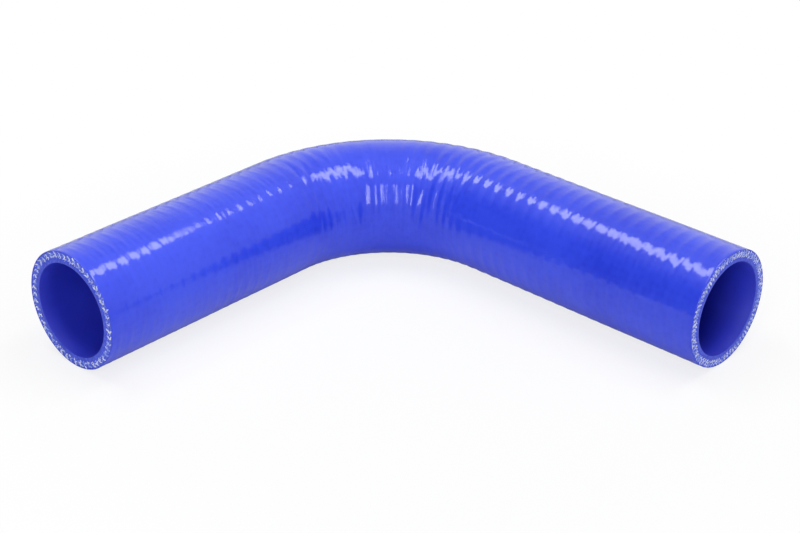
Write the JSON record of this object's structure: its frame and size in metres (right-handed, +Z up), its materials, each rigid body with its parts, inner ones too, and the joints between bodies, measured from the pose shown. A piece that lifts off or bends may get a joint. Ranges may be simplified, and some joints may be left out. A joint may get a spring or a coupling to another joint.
{
  "type": "coolant hose coupler",
  "caption": "Right-angle elbow hose of reinforced silicone rubber, with a smooth round bore, wrap ridges outside and two plain straight legs of unequal length that push over pipe stubs.",
  "frame": {"origin": "on the resting plane, under the centre of the overall box, with the hose lying on its side", "axes": "+Z up; the shorter leg opens towards -Y and the longer leg opens towards +X, so the outside of the bend looks towards -X and +Y"},
  "size_m": [0.1704, 0.1652, 0.0406],
  "materials": {
    "silicone_rubber": "glossy moulded silicone with shallow wrap ridges, matt where it is cut",
    "polyester_yarn": "cut ends of the pale reinforcing yarns in the two end faces"
  },
  "bodies": {
    "root": {"elbow_hose": "silicone_rubber"}
  },
  "joints": []
}
